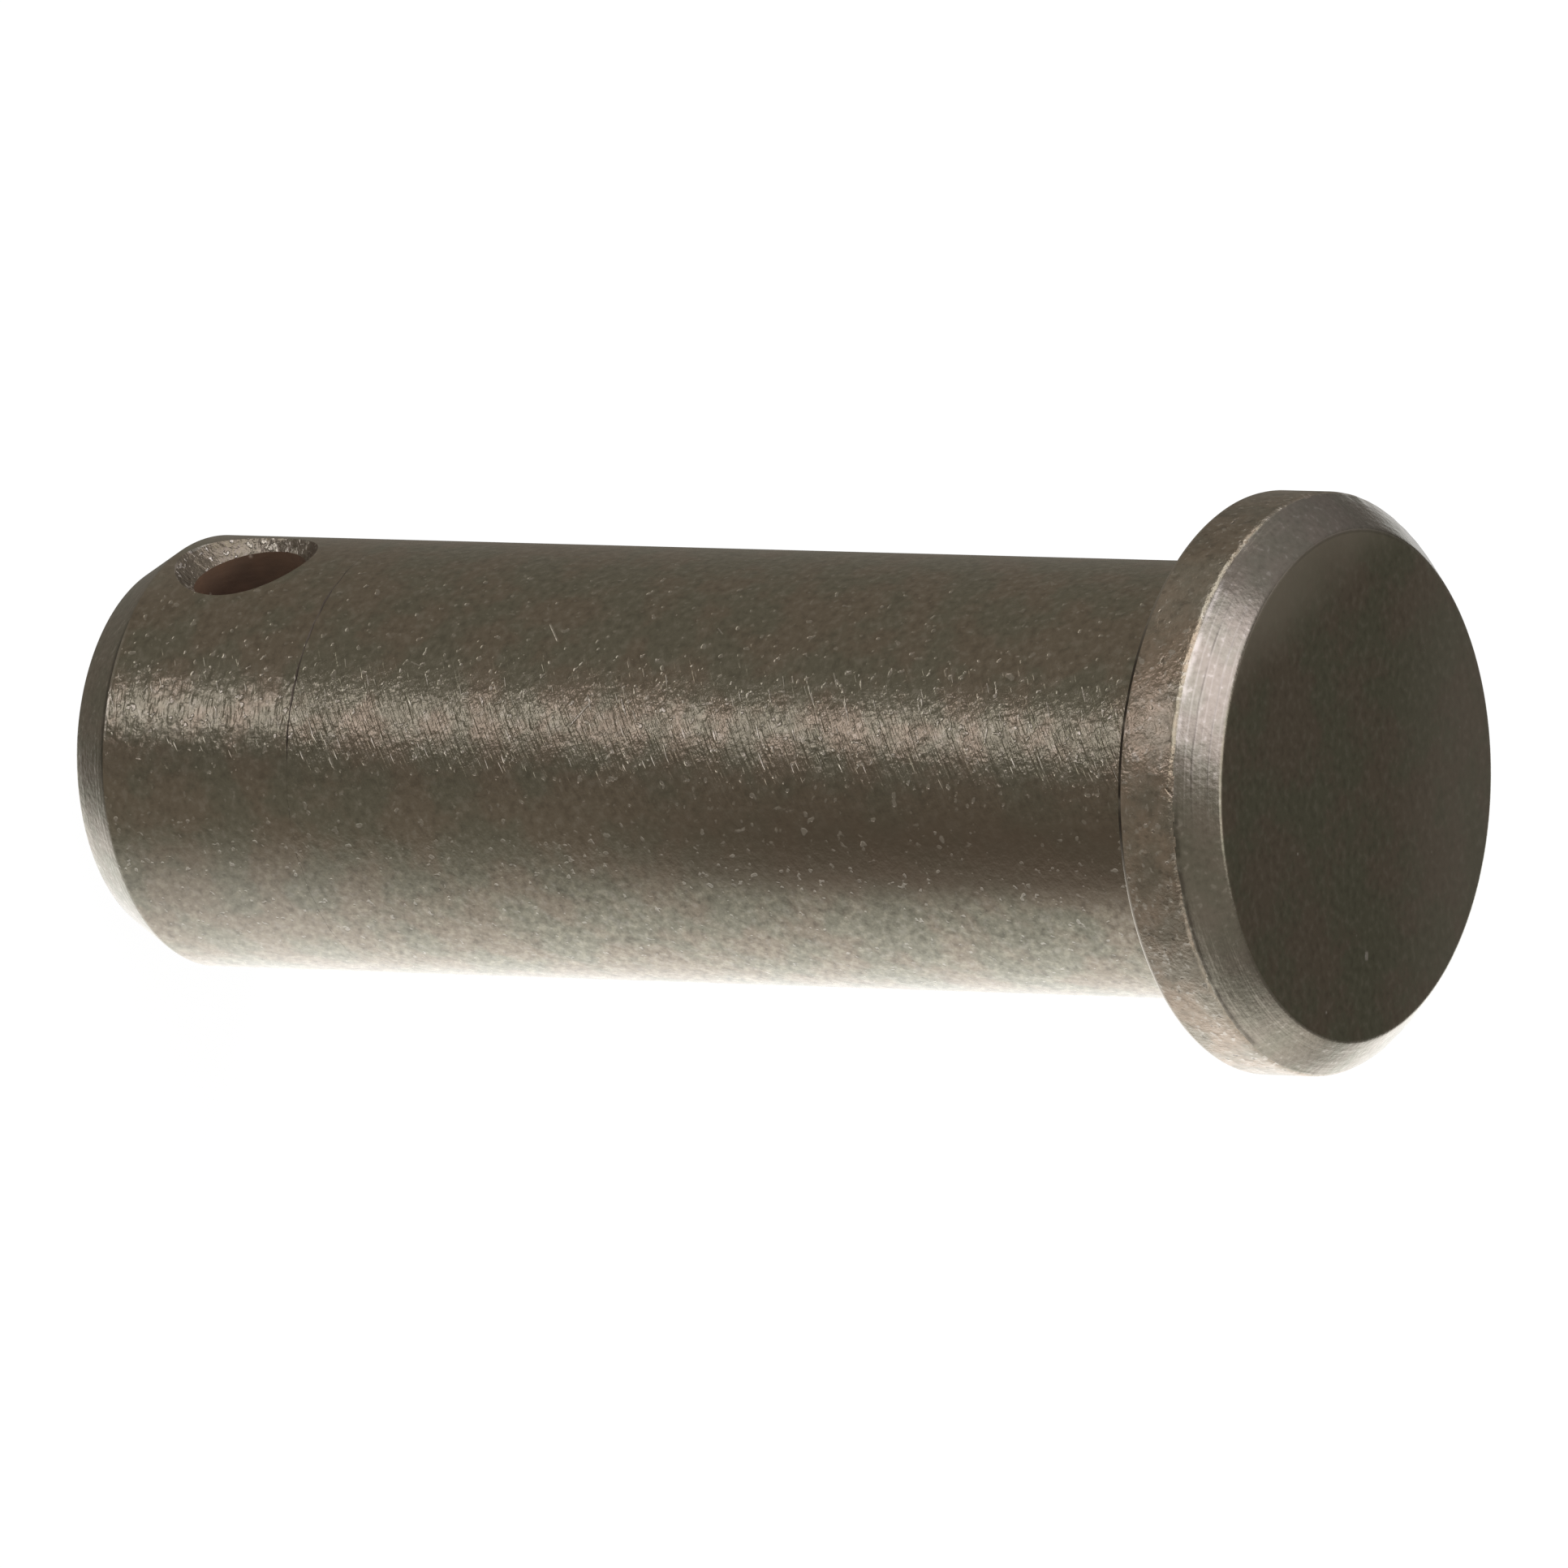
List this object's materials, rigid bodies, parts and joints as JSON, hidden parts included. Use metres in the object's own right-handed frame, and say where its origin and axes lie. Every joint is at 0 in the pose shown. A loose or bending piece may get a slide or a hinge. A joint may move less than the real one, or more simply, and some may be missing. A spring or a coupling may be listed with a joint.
{
  "type": "clevis pin",
  "caption": "Straight round steel pin with a flat chamfered head, a chamfered point and a countersunk cross hole near the point for a split pin.",
  "frame": {"origin": "centre of the flat end of the point, on the surface that the pin stands on", "axes": "+Z along the pin's axis, from the point to the head; X along the cross hole"},
  "size_m": [0.0126, 0.0126, 0.0306],
  "materials": {
    "steel": "plain turned steel, satin, lightly scratched and pitted"
  },
  "bodies": {
    "root": {"clevis_pin": "steel"}
  },
  "joints": []
}
